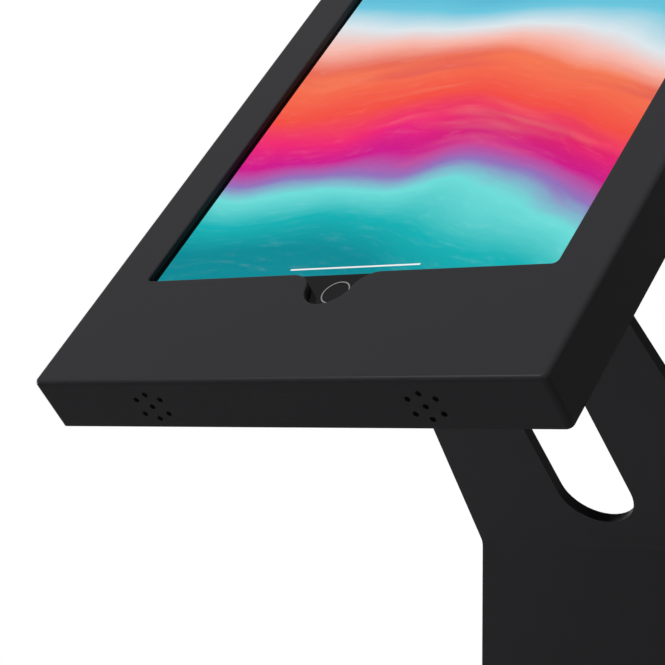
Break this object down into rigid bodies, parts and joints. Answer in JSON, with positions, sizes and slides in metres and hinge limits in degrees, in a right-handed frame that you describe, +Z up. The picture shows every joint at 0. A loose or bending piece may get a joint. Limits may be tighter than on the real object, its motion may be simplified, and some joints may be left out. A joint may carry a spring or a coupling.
{
  "type": "tablet security kiosk stand",
  "caption": "Floor stand that locks a tilted tablet in a hinged black steel housing on a bent plate column with a slotted, tapering neck and a flat base.",
  "frame": {"origin": "middle of the base on the floor", "axes": "+Z up, -Y towards the person at the screen, +X to the right of the screen as that person sees it"},
  "size_m": [0.38, 0.42, 1.1202],
  "materials": {
    "black_coat": "satin black powder coat",
    "black_steel": "black oxide",
    "zinc_steel": "zinc plated",
    "lock_chrome": "chrome plated",
    "foot_rubber": "moulded black rubber",
    "cap_plastic": "moulded black plastic",
    "block_plastic": "moulded dark plastic",
    "gasket_foam": "soft closed-cell foam",
    "screen_glass": "polished",
    "screen_picture": "lit display",
    "button_black": "polished black",
    "ring_metal": "bright",
    "shell_metal": "dark anodised",
    "cell_wrap": "matte wrap",
    "board_resin": "green board",
    "lens_glass": "dark lens"
  },
  "bodies": {
    "stand": {"back_plate": "black_coat", "base_plate": "black_coat", "battery": "cell_wrap", "cap_grommet": "foot_rubber", "charging_port": "ring_metal", "clinch_nuts": "zinc_steel", "column_cap": "cap_plastic", "column_channel": "black_coat", "column_plate": "black_coat", "corner_block_lower_left": "block_plastic", "corner_block_lower_right": "block_plastic", "corner_block_upper_left": "block_plastic", "corner_block_upper_right": "block_plastic", "display_panel": "screen_picture", "flange_screws": "black_steel", "foot_bolts": "black_steel", "foot_front_left": "foot_rubber", "foot_front_right": "foot_rubber", "foot_rear_left": "foot_rubber", "foot_rear_right": "foot_rubber", "foot_screws": "zinc_steel", "hinge_pin": "zinc_steel", "home_ring": "ring_metal", "lock_barrel": "lock_chrome", "lock_nut": "zinc_steel", "logic_board": "board_resin", "outlet_trim": "foot_rubber", "rear_camera": "lens_glass", "rear_cover": "black_coat", "rear_cover_screws": "black_steel", "speaker_left": "cell_wrap", "speaker_right": "cell_wrap", "tablet_glass": "screen_glass", "tablet_shell": "shell_metal"},
    "front_cover": {"front_housing": "black_coat", "lock_catch": "zinc_steel", "gasket": "gasket_foam"},
    "lock": {"lock_plug": "lock_chrome", "lock_cam": "zinc_steel", "cam_screw": "zinc_steel"},
    "home_key": {"home_button": "button_black"},
    "power_key": {"power_button": "shell_metal"},
    "volume_up_key": {"volume_up_button": "shell_metal"},
    "volume_down_key": {"volume_down_button": "shell_metal"}
  },
  "joints": [
    {"name": "cover_hinge", "type": "hinge", "parent": "stand", "child": "front_cover", "pos_m": [0, 0.14652, 1.10332], "axis": [-1, 0, 0], "range_deg": [0, 105]},
    {"name": "lock_turn", "type": "hinge", "parent": "stand", "child": "lock", "pos_m": [0.028, -0.04164, 0.91728], "axis": [0, -0.7071, 0.7071], "range_deg": [0, 90]},
    {"name": "home_press", "type": "slide", "parent": "stand", "child": "home_key", "axis": [0, 0.7071, -0.7071], "range_m": [0, 0.0004], "stiffness_N_per_m": 400},
    {"name": "power_press", "type": "slide", "parent": "stand", "child": "power_key", "axis": [0, -0.7071, -0.7071], "range_m": [0, 0.0003], "stiffness_N_per_m": 400},
    {"name": "volume_up_press", "type": "slide", "parent": "stand", "child": "volume_up_key", "axis": [-1, 0, 0], "range_m": [0, 0.0003], "stiffness_N_per_m": 400},
    {"name": "volume_down_press", "type": "slide", "parent": "stand", "child": "volume_down_key", "axis": [-1, 0, 0], "range_m": [0, 0.0003], "stiffness_N_per_m": 400}
  ]
}
